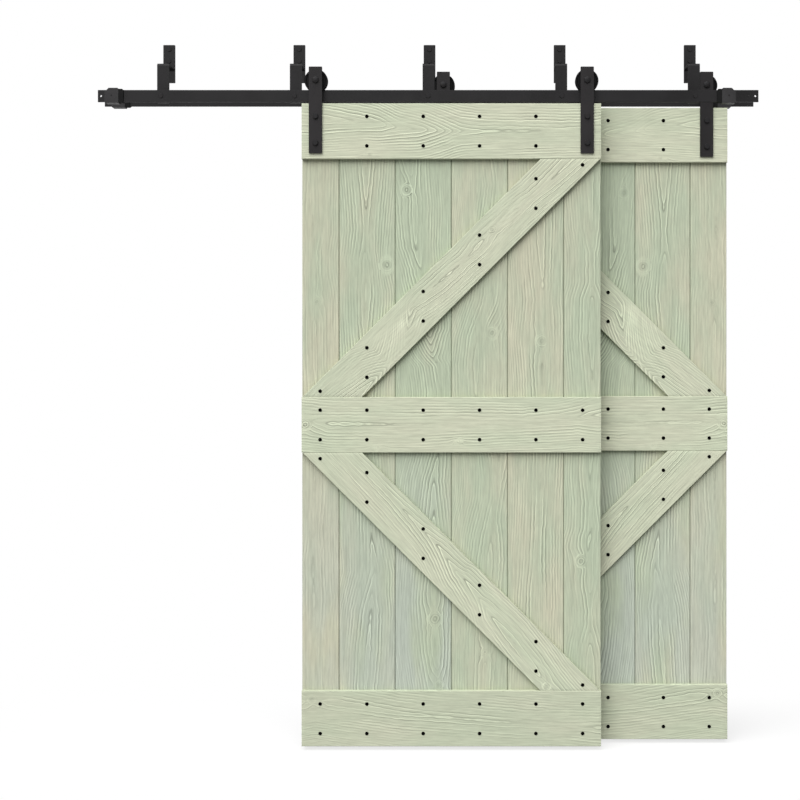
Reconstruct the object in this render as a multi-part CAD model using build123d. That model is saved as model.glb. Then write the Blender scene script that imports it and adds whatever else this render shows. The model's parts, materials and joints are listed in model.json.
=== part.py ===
"""Bypass sliding barn door: two braced wooden leaves on a double flat track.

Millimetres. The origin lies on the wall plane, on the centreline of the tracks, at the
middle bracket. +Z is up, +X is to the right, and the room is on the -Y side.
"""

import os
from dataclasses import dataclass
from math import asin, atan2, hypot, sin, sqrt, tan

from build123d import *

# Tracks
track_length = 2200.0
track_height = 40.0
track_thickness = 6.0
track_edge_chamfer = 0.8
track_end_overhang = 210.0
track_spacing = 76.0
back_spacer_length = 33.0
end_hole_diameter = 7.0
end_hole_inset = 10.0
end_hole_pitch = 22.0

# Wall brackets
bracket_count = 5
bracket_width = 40.0
bracket_thickness = 6.0
bracket_corner_radius = 2.0
bend_inner_radius = 3.0
weld_leg = 4.0
plate_above_arm = 80.5
plate_below_arm = 43.0
arm_clearance_over_strap = 16.6
leg_above_track_bottom = 2.0
plate_lag_inset = 16.1
plate_lag_pitch = 39.8
front_spacer_length = 22.0
spacer_diameter = 18.0

# Track fasteners
hole_clearance = 0.3
lag_diameter = 8.0
lag_shank_diameter = 7.2
lag_flats = 15.0
lag_head_height = 5.5
lag_length_in_wall = 55.0
lag_point_length = 8.0
lag_tip_radius = 0.5
track_bolt_diameter = 9.5
track_bolt_flats = 15.0
track_bolt_head_height = 5.5
track_nut_height = 6.5
bolt_tip_beyond_nut = 2.0
hex_head_chamfer = 1.1
nut_bore_clearance = 0.05

# End stops
stop_width = 46.0
stop_depth = 28.0
stop_lip = 5.0
stop_outer_chamfer = 14.0
stop_small_chamfer = 3.0
stop_track_clearance = 0.3
left_stop_inset = 25.0
right_stop_inset = 77.0
bumper_thickness = 16.0
bumper_depth = 24.0
bumper_lip = 2.0
bumper_chamfer = 4.0
set_screw_diameter = 6.0
set_screw_clearance = 0.05
set_screw_socket = 3.0
set_screw_socket_depth = 3.0

# Leaves
leaf_height = 2134.0
leaf_width = 994.0
leaf_clearance_under_stop = 2.5
leaf_front_from_track = 14.5
front_leaf_travel = 617.0
plank_thickness = 19.0
plank_count = 6
outer_plank_width = 123.0
plank_v_groove = 3.0
plank_tongue_width = 6.0
plank_tongue_thickness = 6.0
plank_joint_gap = 0.3
board_thickness = 16.0
board_width = 184.0
board_edge_chamfer = 1.2
brace_width = 140.0
brace_end_inset = 2.5

# Leaf screws
screw_head_diameter = 10.5
screw_crown_diameter = 7.0
screw_head_height = 1.8
screw_diameter = 4.5
screw_length = 30.0
screw_row_offset = 49.0
brace_end_screw_offset = 20.0
screw_clearance = 0.05

# Hangers
strap_width = 44.0
strap_thickness = 6.0
strap_top_above_axle = 43.6
strap_lap_on_leaf = 165.7
strap_corner_radius = 2.0
upper_strap_bolt_drop = 43.5
strap_bolt_pitch = 88.0
front_strap_inset = 46.5
back_inner_strap_inset = 34.0
back_outer_strap_inset = 71.0
strap_bolt_diameter = 10.0
strap_bolt_flats = 17.0
strap_bolt_head_height = 6.4
nut_height = 8.0
nut_flange_diameter = 21.0
nut_flange_height = 1.5
axle_bolt_flats = 20.0
axle_bolt_head_height = 5.0
axle_sleeve_wall = 2.5

# Wheels and bearings
wheel_groove_diameter = 59.0
wheel_flange_depth = 9.0
wheel_width = 22.0
wheel_rim_land = 4.0
wheel_edge_chamfer = 1.0
wheel_groove_side_clearance = 0.6
wheel_recess_depth = 2.0
wheel_rim_width = 5.5
wheel_hub_wall = 5.0
bearing_diameter = 30.0
bearing_width = 9.0
bearing_race_wall = 2.5
bearing_race_step = 0.6
bearing_seat_clearance = 0.02
axle_running_clearance = 0.05
running_gap = 0.3

# Length by which a cut starts before and ends after the face that it opens
cut_margin = 1.0

# Places across the depth, from the wall to the room
back_track_y = -(back_spacer_length + track_thickness / 2)
front_track_y = back_track_y - track_spacing
leg_front_y = front_track_y + track_thickness / 2 + front_spacer_length
leg_rear_y = leg_front_y + bracket_thickness

# Heights, from the tracks' centreline
wheel_radius = wheel_groove_diameter / 2 + wheel_flange_depth
groove_radius = wheel_groove_diameter / 2
axle_height = track_height / 2 + running_gap + groove_radius
leaf_top = -track_height / 2 - stop_lip - leaf_clearance_under_stop
leaf_bottom = leaf_top - leaf_height
leaf_middle = (leaf_top + leaf_bottom) / 2
strap_top = axle_height + strap_top_above_axle
strap_bottom = leaf_top - strap_lap_on_leaf
upper_strap_bolt = leaf_top - upper_strap_bolt_drop
strap_bolt_heights = (upper_strap_bolt, upper_strap_bolt - strap_bolt_pitch)
arm_top = strap_top + arm_clearance_over_strap + bracket_thickness
plate_top = arm_top + plate_above_arm
plate_bottom = arm_top - bracket_thickness - plate_below_arm
leg_bottom = leg_above_track_bottom - track_height / 2
plate_lag_heights = (plate_top - plate_lag_inset, plate_top - plate_lag_inset - plate_lag_pitch)

# Places along the track
bracket_pitch = (track_length - 2 * track_end_overhang) / (bracket_count - 1)
bracket_places = [(n - (bracket_count - 1) / 2) * bracket_pitch for n in range(bracket_count)]
left_stop_face = -track_length / 2 + left_stop_inset + stop_width
right_stop_face = track_length / 2 - right_stop_inset - stop_width
bumper_top = track_height / 2 + bumper_lip

# A wheel meets a bumper on its 45 degree edge, this far from the bumper's face
wheel_rest_distance = (
    sqrt(2) * (wheel_radius + running_gap) - (axle_height - bumper_top) - bumper_chamfer
)
leftmost_wheel = left_stop_face + bumper_thickness + wheel_rest_distance
rightmost_wheel = right_stop_face - bumper_thickness - wheel_rest_distance
front_leaf_centre = leftmost_wheel + front_leaf_travel + leaf_width / 2 - front_strap_inset
back_leaf_centre = rightmost_wheel + back_outer_strap_inset - leaf_width / 2

# Leaf layout, from the leaf's centre; the outer planks carry the straps and keep their width
inner_plank_count = plank_count - 2
plank_cover = (leaf_width - 2 * outer_plank_width) / inner_plank_count
plank_edges = [
    -leaf_width / 2,
    *[(n - inner_plank_count / 2) * plank_cover for n in range(inner_plank_count + 1)],
    leaf_width / 2,
]
plank_middles = [(left + right) / 2 for left, right in zip(plank_edges, plank_edges[1:])]
opening_height = (leaf_height - 3 * board_width) / 2
opening_level = (board_width + opening_height) / 2
board_levels = {"top": 2 * opening_level, "middle": 0.0, "bottom": -2 * opening_level}

# A brace's corners reach the leaf's edges less an inset
brace_span = leaf_width - 2 * brace_end_inset
brace_angle = atan2(opening_height, brace_span) + asin(brace_width / hypot(opening_height, brace_span))
brace_across = brace_width / sin(brace_angle)
brace_rise = tan(brace_angle)


@dataclass
class Leaf:
    """One leaf: its name, its place and the way its upper brace rises."""

    name: str
    centre: float
    track_y: float
    brace_side: int
    strap_places: tuple

    @property
    def front_y(self):
        return self.track_y - track_thickness / 2 - leaf_front_from_track

    @property
    def plank_front_y(self):
        return self.front_y + board_thickness

    @property
    def back_y(self):
        return self.plank_front_y + plank_thickness

    @property
    def braces(self):
        """Name, level and rising side of each brace."""
        return (
            ("upper", opening_level, self.brace_side),
            ("lower", -opening_level, -self.brace_side),
        )


def turned_to_front(shape, x, y, z):
    """Place a shape drawn upright so that its top points to the room."""
    return Pos(x, y, z) * Rot(90, 0, 0) * shape


def hole(diameter, y_low, y_high, x, z):
    """The round bar that cuts a hole between two depths."""
    length = y_high - y_low + 2 * cut_margin
    return Pos(x, (y_low + y_high) / 2, z) * Rot(90, 0, 0) * Cylinder(diameter / 2, length)


def below(length):
    """Move a shape that is centred on its height so that its top lies at zero."""
    return Pos(0, 0, -length / 2)


def hex_bolt(flats, head_height, diameter, length):
    """A bolt drawn upright: the head stands on zero and the shank hangs below."""
    head = extrude(RegularPolygon(flats / 2, 6, major_radius=False), head_height)
    head = chamfer(head.faces().sort_by(Axis.Z)[-1].edges(), hex_head_chamfer)
    return head + below(length) * Cylinder(diameter / 2, length)


def lag_screw(grip):
    """A hex head screw: a bare shank through the grip, then threaded wood screw down to its point."""
    threaded = lag_length_in_wall - lag_point_length
    body = Pos(0, 0, -grip) * below(threaded) * Cylinder(lag_diameter / 2, threaded)
    point = Pos(0, 0, -grip - threaded) * below(lag_point_length) * Cone(
        lag_tip_radius, lag_diameter / 2, lag_point_length
    )
    return hex_bolt(lag_flats, lag_head_height, lag_shank_diameter, grip) + body + point


def tube(length, diameter, bore):
    """A plain tube that hangs below zero."""
    return below(length) * (Cylinder(diameter / 2, length) - Cylinder(bore / 2, length))


def save(name, *solids):
    """Write the solids of one node."""
    export_step(Compound(label=name, children=list(solids)), f"parts/{name}.step")


def track(y, fastener_diameter):
    """A flat bar on edge, drilled for a fastener at every bracket, and at its ends."""
    bar = Pos(0, y, 0) * Box(track_length, track_thickness, track_height)
    bar = chamfer(bar.edges().filter_by(Axis.X), track_edge_chamfer)
    y_low = y - track_thickness / 2
    y_high = y + track_thickness / 2
    for x in bracket_places:
        bar -= hole(fastener_diameter + 2 * hole_clearance, y_low, y_high, x, 0)
    end_hole = track_length / 2 - end_hole_inset
    for x in (-end_hole, end_hole, end_hole - end_hole_pitch):
        bar -= hole(end_hole_diameter, y_low, y_high, x, 0)
    return bar


def nearest_edge(solid, x, y, z):
    """The edge along the bracket's width that lies nearest to a point."""
    return solid.edges().filter_by(Axis.X).sort_by_distance((x, y, z))[0]


def bracket(x):
    """A wall plate with a bent bar welded to it: the arm and the leg of the front track."""
    arm_underside = arm_top - bracket_thickness
    outline = Polyline(
        (-bracket_thickness, arm_top),
        (leg_front_y, arm_top),
        (leg_front_y, leg_bottom),
        (leg_rear_y, leg_bottom),
        (leg_rear_y, arm_underside),
        (-bracket_thickness, arm_underside),
        close=True,
    )
    section = make_face(Plane.YZ * outline)
    bar = Pos(x - bracket_width / 2, 0, 0) * extrude(section, bracket_width, dir=(1, 0, 0))
    bar = fillet(nearest_edge(bar, x, leg_front_y, arm_top), bend_inner_radius + bracket_thickness)
    bar = fillet(nearest_edge(bar, x, leg_rear_y, arm_underside), bend_inner_radius)

    plate_height = plate_top - plate_bottom
    plate = Pos(x, -bracket_thickness / 2, plate_bottom + plate_height / 2) * Box(
        bracket_width, bracket_thickness, plate_height
    )
    body = bar + plate
    for height in (arm_top, arm_underside):
        body = fillet(nearest_edge(body, x, -bracket_thickness, height), weld_leg)
    ends = [plate_top, plate_bottom, leg_bottom]
    corners = [
        edge
        for edge in body.edges().filter_by(Axis.Y)
        if min(abs(edge.center().Z - end) for end in ends) < cut_margin
    ]
    body = fillet(corners, bracket_corner_radius)

    for height in plate_lag_heights:
        body -= hole(lag_diameter + 2 * hole_clearance, -bracket_thickness, 0, x, height)
    return body - hole(track_bolt_diameter + 2 * hole_clearance, leg_front_y, leg_rear_y, x, 0)


def track_slot(x, y, length):
    """The space that a stop or a bumper leaves round the track."""
    grown = 2 * stop_track_clearance
    return Pos(x, y, 0) * Box(length, track_thickness + grown, track_height + grown)


def end_stop(face_x, side, y):
    """A block that hugs the track; its outer top corner is cut off at 45 degrees."""
    half = track_height / 2 + stop_lip
    outer = side * stop_width
    outline = Polyline(
        (0, -half),
        (0, half - stop_small_chamfer),
        (side * stop_small_chamfer, half),
        (outer - side * stop_outer_chamfer, half),
        (outer, half - stop_outer_chamfer),
        (outer, stop_small_chamfer - half),
        (outer - side * stop_small_chamfer, -half),
        close=True,
    )
    block = extrude(make_face(Plane.XZ * outline), stop_depth / 2, both=True)
    block = Pos(face_x, y, 0) * block
    middle = face_x + outer / 2
    block -= track_slot(middle, y, stop_width + 2 * cut_margin)
    bore = set_screw_diameter + 2 * set_screw_clearance
    return block - hole(bore, y - stop_depth / 2, y - track_thickness / 2, middle, 0)


def bumper(face_x, side, y):
    """A rubber block on the stop's inner face, with 45 degree edges for the wheel."""
    middle = face_x - side * bumper_thickness / 2
    block = Pos(middle, y, 0) * Box(bumper_thickness, bumper_depth, 2 * bumper_top)
    wheel_face = block.faces().sort_by(Axis.X)[0 if side > 0 else -1]
    block = chamfer(wheel_face.edges().filter_by(Axis.Y), bumper_chamfer)
    return block - track_slot(middle, y, bumper_thickness + 2 * cut_margin)


def set_screw(x, y):
    """A socket screw that runs from the stop's front face to the track."""
    length = (stop_depth - track_thickness) / 2
    socket = extrude(
        RegularPolygon(set_screw_socket / 2, 6, major_radius=False), -set_screw_socket_depth
    )
    screw = below(length) * Cylinder(set_screw_diameter / 2, length) - socket
    return turned_to_front(screw, x, y - stop_depth / 2, 0)


def screws_on_board(name):
    """Two rows of screw places, one pair to a plank; straps cover the top board's outer pairs."""
    columns = plank_middles[1:-1] if name == "top" else plank_middles
    return [
        (x, board_levels[name] + row) for x in columns for row in (-screw_row_offset, screw_row_offset)
    ]


def screws_on_brace(level, side):
    """A pair of screw places to a full plank, and one at each end of the brace."""
    pairs = [
        (x, level + side * x * brace_rise + row)
        for x in plank_middles[1:-1]
        for row in (-screw_row_offset, screw_row_offset)
    ]
    end = opening_height / 2 - brace_end_screw_offset
    return pairs + [
        (plank_middles[0], level - side * end),
        (plank_middles[-1], level + side * end),
    ]


def leaf_screw_places(leaf):
    """Every screw place of a leaf."""
    places = [place for name in board_levels for place in screws_on_board(name)]
    return places + [place for _, level, side in leaf.braces for place in screws_on_brace(level, side)]


def drilled(solid, leaf, y_low, y_high, screw_end_y):
    """Cut the screw and strap bolt holes that fall on a board or a plank."""
    box = solid.bounding_box()
    screw_bore = screw_diameter + 2 * screw_clearance
    bolt_bore = strap_bolt_diameter + 2 * hole_clearance
    bolts = [(x, z - leaf_middle) for x in leaf.strap_places for z in strap_bolt_heights]
    cuts = [(x, z, screw_bore, screw_end_y) for x, z in leaf_screw_places(leaf)]
    cuts += [(x, z, bolt_bore, y_high) for x, z in bolts]
    for x, z, bore, end_y in cuts:
        x, z = leaf.centre + x, leaf_middle + z
        if box.min.X < x < box.max.X and box.min.Z < z < box.max.Z:
            length = end_y - y_low + cut_margin
            solid -= Pos(x, end_y - length / 2, z) * Rot(90, 0, 0) * Cylinder(bore / 2, length)
    return solid


def plank_section(leaf, left, right, grooved, tongued):
    """A plank seen from above: V edges in front, a groove on its left, a tongue on its right."""
    gap = plank_joint_gap
    front = leaf.plank_front_y
    x0 = leaf.centre + left + (gap / 2 if grooved else 0)
    x1 = leaf.centre + right - (gap / 2 if tongued else 0)
    left_v = plank_v_groove if grooved else board_edge_chamfer
    right_v = plank_v_groove if tongued else board_edge_chamfer
    tongue_front = front + (plank_thickness - plank_tongue_thickness) / 2
    tongue_back = tongue_front + plank_tongue_thickness
    points = [(x0 + left_v, front), (x1 - right_v, front), (x1, front + right_v)]
    if tongued:
        tip = x1 + plank_tongue_width
        points += [(x1, tongue_front), (tip, tongue_front), (tip, tongue_back), (x1, tongue_back)]
    points += [(x1, leaf.back_y), (x0, leaf.back_y)]
    if grooved:
        floor = x0 + plank_tongue_width + gap
        points += [
            (x0, tongue_back + gap),
            (floor, tongue_back + gap),
            (floor, tongue_front - gap),
            (x0, tongue_front - gap),
        ]
    points += [(x0, front + left_v)]
    return make_face(Plane.XY.offset(leaf_bottom) * Polyline(*points, close=True))


def save_planks(leaf):
    """The upright planks, from left to right."""
    last = len(plank_edges) - 1
    for number, (left, right) in enumerate(zip(plank_edges, plank_edges[1:]), start=1):
        section = plank_section(leaf, left, right, grooved=number > 1, tongued=number < last)
        plank = extrude(section, leaf_height, dir=(0, 0, 1))
        screw_end_y = leaf.front_y + screw_length + screw_clearance
        plank = drilled(plank, leaf, leaf.plank_front_y, leaf.back_y, screw_end_y)
        save(f"{leaf.name}_plank_{number}", plank)


def save_board(leaf, name, board):
    """Ease the front edges of a board or brace, drill it and write it."""
    board = chamfer(board.faces().sort_by(Axis.Y)[0].edges(), board_edge_chamfer)
    board = drilled(board, leaf, leaf.front_y, leaf.plank_front_y, leaf.plank_front_y + cut_margin)
    save(f"{leaf.name}_{name}", board)


def save_boards(leaf):
    """The three boards across the leaf."""
    for name, level in board_levels.items():
        place = Pos(leaf.centre, leaf.front_y + board_thickness / 2, leaf_middle + level)
        save_board(leaf, f"{name}_board", place * Box(leaf_width, board_thickness, board_width))


def save_braces(leaf):
    """The two braces, cut level where they meet the boards."""
    half_run = opening_height / brace_rise / 2
    half_across = brace_across / 2
    for name, level, side in leaf.braces:
        low = leaf_middle + level - opening_height / 2
        high = low + opening_height
        foot = leaf.centre - side * half_run
        head = leaf.centre + side * half_run
        outline = Polyline(
            (foot - half_across, low),
            (foot + half_across, low),
            (head + half_across, high),
            (head - half_across, high),
            close=True,
        )
        section = make_face(Plane.XZ.offset(-leaf.front_y) * outline)
        save_board(leaf, f"{name}_brace", extrude(section, board_thickness, dir=(0, 1, 0)))


def save_screws(leaf):
    """All the screws that hold boards and braces to the planks."""
    head = Pos(0, 0, screw_head_height / 2) * Cone(
        screw_head_diameter / 2, screw_crown_diameter / 2, screw_head_height
    )
    screw = head + below(screw_length) * Cylinder(screw_diameter / 2, screw_length)
    save(
        f"{leaf.name}_leaf_screws",
        *[
            turned_to_front(screw, leaf.centre + x, leaf.front_y, leaf_middle + z)
            for x, z in leaf_screw_places(leaf)
        ],
    )


def strap(leaf, x):
    """A flat hanger strap that lies on the leaf and rises to the axle."""
    height = strap_top - strap_bottom
    bar = Pos(x, leaf.front_y - strap_thickness / 2, strap_bottom + height / 2) * Box(
        strap_width, strap_thickness, height
    )
    bar = fillet(bar.edges().filter_by(Axis.Y), strap_corner_radius)
    for z in (axle_height, *strap_bolt_heights):
        bore = strap_bolt_diameter + 2 * hole_clearance
        bar -= hole(bore, leaf.front_y - strap_thickness, leaf.front_y, x, z)
    return bar


def flange_nut():
    """A hex nut with a flange on its seat; it hangs below zero."""
    nut = extrude(RegularPolygon(strap_bolt_flats / 2, 6, major_radius=False), -nut_height)
    nut += below(nut_flange_height) * Cylinder(nut_flange_diameter / 2, nut_flange_height)
    bore = strap_bolt_diameter / 2 + nut_bore_clearance
    return nut - below(nut_height) * Cylinder(bore, nut_height + cut_margin)


def save_hangers(leaf):
    """Straps, strap bolts, nuts, axle bolts and the sleeves between strap and bearing."""
    strap_face_y = leaf.front_y - strap_thickness
    bearing_front_y = leaf.track_y - bearing_width / 2 - running_gap
    bearing_back_y = leaf.track_y + bearing_width / 2 + running_gap
    beyond = nut_height + bolt_tip_beyond_nut
    strap_bolt = hex_bolt(
        strap_bolt_flats, strap_bolt_head_height, strap_bolt_diameter, leaf.back_y + beyond - strap_face_y
    )
    axle_bolt = hex_bolt(
        axle_bolt_flats, axle_bolt_head_height, strap_bolt_diameter, bearing_back_y + beyond - strap_face_y
    )
    sleeve = tube(
        bearing_front_y - leaf.front_y,
        strap_bolt_diameter + 2 * (axle_running_clearance + axle_sleeve_wall),
        strap_bolt_diameter + 2 * axle_running_clearance,
    )
    nut = flange_nut()
    places = [leaf.centre + place for place in leaf.strap_places]
    bolt_places = [(x, z) for x in places for z in strap_bolt_heights]
    for side, x in zip(("left", "right"), places):
        save(f"{leaf.name}_{side}_strap", strap(leaf, x))
    save(
        f"{leaf.name}_strap_bolts",
        *[turned_to_front(strap_bolt, x, strap_face_y, z) for x, z in bolt_places],
    )
    save(
        f"{leaf.name}_hanger_nuts",
        *[turned_to_front(nut, x, leaf.back_y, z) for x, z in bolt_places],
        *[turned_to_front(nut, x, bearing_back_y, axle_height) for x in places],
    )
    save(
        f"{leaf.name}_axle_bolts",
        *[turned_to_front(axle_bolt, x, strap_face_y, axle_height) for x in places],
    )
    save(
        f"{leaf.name}_axle_sleeves",
        *[turned_to_front(sleeve, x, leaf.front_y, axle_height) for x in places],
    )


def wheel_section():
    """Half of the wheel's section: a grooved rim, a recessed web and a stepped bearing seat."""
    half = wheel_width / 2
    groove_half = track_thickness / 2 + wheel_groove_side_clearance
    rim_half = half - wheel_rim_land
    web_half = half - wheel_recess_depth
    web_in = bearing_diameter / 2 + wheel_hub_wall
    web_out = wheel_radius - wheel_rim_width
    slope = wheel_recess_depth
    edge = wheel_edge_chamfer
    seat = bearing_diameter / 2 + bearing_seat_clearance
    seat_end = bearing_width / 2 + bearing_seat_clearance
    lip = bearing_diameter / 2 - bearing_race_wall

    def side(sign):
        """The points of one side, from the hub out to the groove's floor."""
        return [
            (web_in, sign * half),
            (web_in + slope, sign * web_half),
            (web_out - slope, sign * web_half),
            (web_out, sign * half),
            (wheel_radius - edge, sign * half),
            (wheel_radius, sign * (half - edge)),
            (wheel_radius, sign * rim_half),
            (groove_radius, sign * groove_half),
        ]

    hub = [(lip, half), (lip, seat_end), (seat, seat_end), (seat, -half)]
    return make_face(Plane.XZ * Polyline(*side(-1), *reversed(side(1)), *hub, close=True))


def bearing_section():
    """Half of the bearing's section: two races with a shield set back between them."""
    half = bearing_width / 2
    shield = half - bearing_race_step
    bore = strap_bolt_diameter / 2 + axle_running_clearance
    inner_race = bore + bearing_race_wall
    outer = bearing_diameter / 2
    outer_race = outer - bearing_race_wall

    def side(sign):
        """The points of one side, from the bore outwards."""
        return [
            (bore, sign * half),
            (inner_race, sign * half),
            (inner_race, sign * shield),
            (outer_race, sign * shield),
            (outer_race, sign * half),
            (outer, sign * half),
        ]

    return make_face(Plane.XZ * Polyline(*side(-1), *reversed(side(1)), close=True))


def save_wheels(leaf):
    """The wheels of a leaf, each with the bearing pressed into it."""
    wheel = revolve(wheel_section(), Axis.Z)
    bearing = revolve(bearing_section(), Axis.Z)
    for side, place in zip(("left", "right"), leaf.strap_places):
        spot = (leaf.centre + place, leaf.track_y, axle_height)
        save(f"{leaf.name}_{side}_wheel", turned_to_front(wheel, *spot))
        save(f"{leaf.name}_{side}_bearing", turned_to_front(bearing, *spot))


def save_tracks():
    """Tracks, brackets, spacers and their fasteners."""
    save("front_track", track(front_track_y, track_bolt_diameter))
    save("back_track", track(back_track_y, lag_diameter))
    for number, x in enumerate(bracket_places, start=1):
        save(f"bracket_{number}", bracket(x))

    def at_brackets(shape, y):
        """One copy of a shape at every bracket, on the tracks' centreline."""
        return [turned_to_front(shape, x, y, 0) for x in bracket_places]

    front_bore = track_bolt_diameter + 2 * hole_clearance
    back_bore = lag_diameter + 2 * hole_clearance
    front_tube = tube(front_spacer_length, spacer_diameter, front_bore)
    back_tube = tube(back_spacer_length, spacer_diameter, back_bore)
    save("front_track_spacers", *at_brackets(front_tube, front_track_y + track_thickness / 2))
    save("back_track_spacers", *at_brackets(back_tube, back_track_y + track_thickness / 2))

    track_lag = lag_screw(track_thickness + back_spacer_length)
    plate_lag = lag_screw(bracket_thickness)
    plate_places = [(x, z) for x in bracket_places for z in plate_lag_heights]
    save(
        "lag_screws",
        *at_brackets(track_lag, back_track_y - track_thickness / 2),
        *[turned_to_front(plate_lag, x, -bracket_thickness, z) for x, z in plate_places],
    )

    grip = track_thickness + front_spacer_length + bracket_thickness
    length = grip + track_nut_height + bolt_tip_beyond_nut
    bolt = hex_bolt(track_bolt_flats, track_bolt_head_height, track_bolt_diameter, length)
    nut = extrude(RegularPolygon(track_bolt_flats / 2, 6, major_radius=False), -track_nut_height)
    nut -= below(track_nut_height) * Cylinder(
        track_bolt_diameter / 2 + nut_bore_clearance, track_nut_height + cut_margin
    )
    save("front_track_bolts", *at_brackets(bolt, front_track_y - track_thickness / 2))
    save("front_track_nuts", *at_brackets(nut, leg_rear_y))


def save_stops():
    """A stop, a bumper and a set screw at each end of each track."""
    ends = [
        (face_x, side, y)
        for y in (front_track_y, back_track_y)
        for face_x, side in ((left_stop_face, -1), (right_stop_face, 1))
    ]
    save("end_stops", *[end_stop(*end) for end in ends])
    save("stop_bumpers", *[bumper(*end) for end in ends])
    save("stop_set_screws", *[set_screw(x + side * stop_width / 2, y) for x, side, y in ends])


def main():
    """Build every node."""
    os.makedirs("parts", exist_ok=True)
    save_tracks()
    save_stops()
    half = leaf_width / 2
    front_straps = (front_strap_inset - half, half - front_strap_inset)
    back_straps = (back_inner_strap_inset - half, half - back_outer_strap_inset)
    for leaf in (
        Leaf("front", front_leaf_centre, front_track_y, 1, front_straps),
        Leaf("back", back_leaf_centre, back_track_y, -1, back_straps),
    ):
        save_planks(leaf)
        save_boards(leaf)
        save_braces(leaf)
        save_screws(leaf)
        save_hangers(leaf)
        save_wheels(leaf)


main()
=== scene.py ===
"""The looks of a bypass sliding barn door: sage painted planks and black powder-coated hardware."""

import json
import math
from dataclasses import dataclass

import bmesh
import bpy
import numpy as np
from bpy.props import FloatProperty, FloatVectorProperty, IntProperty, PointerProperty
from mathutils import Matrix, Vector

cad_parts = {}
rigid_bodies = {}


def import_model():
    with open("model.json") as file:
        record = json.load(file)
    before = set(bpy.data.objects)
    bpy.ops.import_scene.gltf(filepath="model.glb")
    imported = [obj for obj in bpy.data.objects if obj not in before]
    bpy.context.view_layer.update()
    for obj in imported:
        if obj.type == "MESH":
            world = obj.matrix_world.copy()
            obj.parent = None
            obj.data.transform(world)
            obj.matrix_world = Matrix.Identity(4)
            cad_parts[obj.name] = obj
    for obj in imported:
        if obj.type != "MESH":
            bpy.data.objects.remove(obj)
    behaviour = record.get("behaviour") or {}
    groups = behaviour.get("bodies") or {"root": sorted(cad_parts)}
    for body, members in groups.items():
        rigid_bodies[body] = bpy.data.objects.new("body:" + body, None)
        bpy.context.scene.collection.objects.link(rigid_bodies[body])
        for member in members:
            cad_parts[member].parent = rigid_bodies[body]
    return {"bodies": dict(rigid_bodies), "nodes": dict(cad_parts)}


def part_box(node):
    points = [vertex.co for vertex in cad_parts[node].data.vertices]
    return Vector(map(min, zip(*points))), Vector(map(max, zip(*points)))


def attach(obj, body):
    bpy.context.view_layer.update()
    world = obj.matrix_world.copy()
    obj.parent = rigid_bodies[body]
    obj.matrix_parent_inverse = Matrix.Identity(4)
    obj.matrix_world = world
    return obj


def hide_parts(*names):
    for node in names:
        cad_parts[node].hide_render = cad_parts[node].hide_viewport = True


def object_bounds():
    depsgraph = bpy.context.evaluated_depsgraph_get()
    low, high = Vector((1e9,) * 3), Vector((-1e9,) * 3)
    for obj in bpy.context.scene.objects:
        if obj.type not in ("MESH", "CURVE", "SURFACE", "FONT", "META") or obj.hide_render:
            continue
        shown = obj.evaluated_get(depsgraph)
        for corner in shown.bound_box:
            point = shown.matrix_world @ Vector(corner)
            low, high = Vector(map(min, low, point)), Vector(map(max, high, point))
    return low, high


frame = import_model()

bl_info = {
    "name": "Sliding barn door",
    "version": (1, 0, 0),
    "blender": (4, 5, 0),
    "location": "3D View > Sidebar > Barn door",
    "description": "Dresses a bypass sliding barn door with painted wood and black hardware",
    "category": "Object",
}

CAD_LOW, CAD_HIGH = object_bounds()
MILLIMETRE = 0.001
# The back leaf has the front leaf's pattern mirrored
LEAVES = {"front": 1, "back": -1}
BRACKETS = 5
BRACE_WIDTH = 140 * MILLIMETRE


def paint(code):
    """A colour code such as CFD4B9 as the linear colour that a shader takes."""
    shares = [int(code[n : n + 2], 16) / 255 for n in (0, 2, 4)]
    return tuple(s / 12.92 if s <= 0.04045 else ((s + 0.055) / 1.055) ** 2.4 for s in shares)


def colour_property(name, description, code):
    """A colour that the user can change."""
    return FloatVectorProperty(
        name=name, description=description, subtype="COLOR", size=3, min=0, max=1,
        default=paint(code),
    )


def length_property(name, description, millimetres):
    """A length that the user can change."""
    return FloatProperty(
        name=name, description=description, subtype="DISTANCE", unit="LENGTH",
        default=millimetres * MILLIMETRE, precision=4,
    )


def angle_property(name, description, degrees):
    """An angle that the user can change."""
    return FloatProperty(
        name=name, description=description, subtype="ANGLE", unit="ROTATION",
        default=math.radians(degrees),
    )


def number_property(name, description, value, **limits):
    """A plain number that the user can change."""
    return FloatProperty(name=name, description=description, default=value, **limits)


class StageSettings(bpy.types.PropertyGroup):
    """Camera, light and floor."""

    camera_place: FloatVectorProperty(
        name="Camera place", description="Where the camera stands", subtype="XYZ", unit="LENGTH",
        default=(0.1726, -4.2295, -0.846),
    )
    lens: number_property("Lens", "Focal length in millimetres", 55.6, min=1)
    shift_x: number_property("Shift X", "Sideways shift of the picture", -0.1)
    shift_y: number_property("Shift Y", "Upward shift of the picture", -0.0625)
    floor_gap: length_property("Floor gap", "Gap between the leaves and the floor", 14.0)
    floor_reach: length_property("Floor reach", "Half the width of the floor", 30000.0)
    floor_grey: number_property("Floor tone", "Tone of the floor under the door", 0.86)
    floor_glow: number_property("Floor glow", "Plain white mixed into the floor", 0.72)
    floor_fade: length_property("Floor fade", "Distance over which the floor turns white", 500.0)
    key_strength: number_property("Key light", "Strength of the high front light", 3.98)
    key_height: angle_property("Key height", "Angle of the key light above the horizon", 50)
    key_side: angle_property("Key side", "Angle of the key light to the left", 24)
    key_softness: angle_property("Key softness", "Apparent width of the key light", 68)
    room_strength: number_property("Room light", "Strength of the light all round", 0.25)


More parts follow.
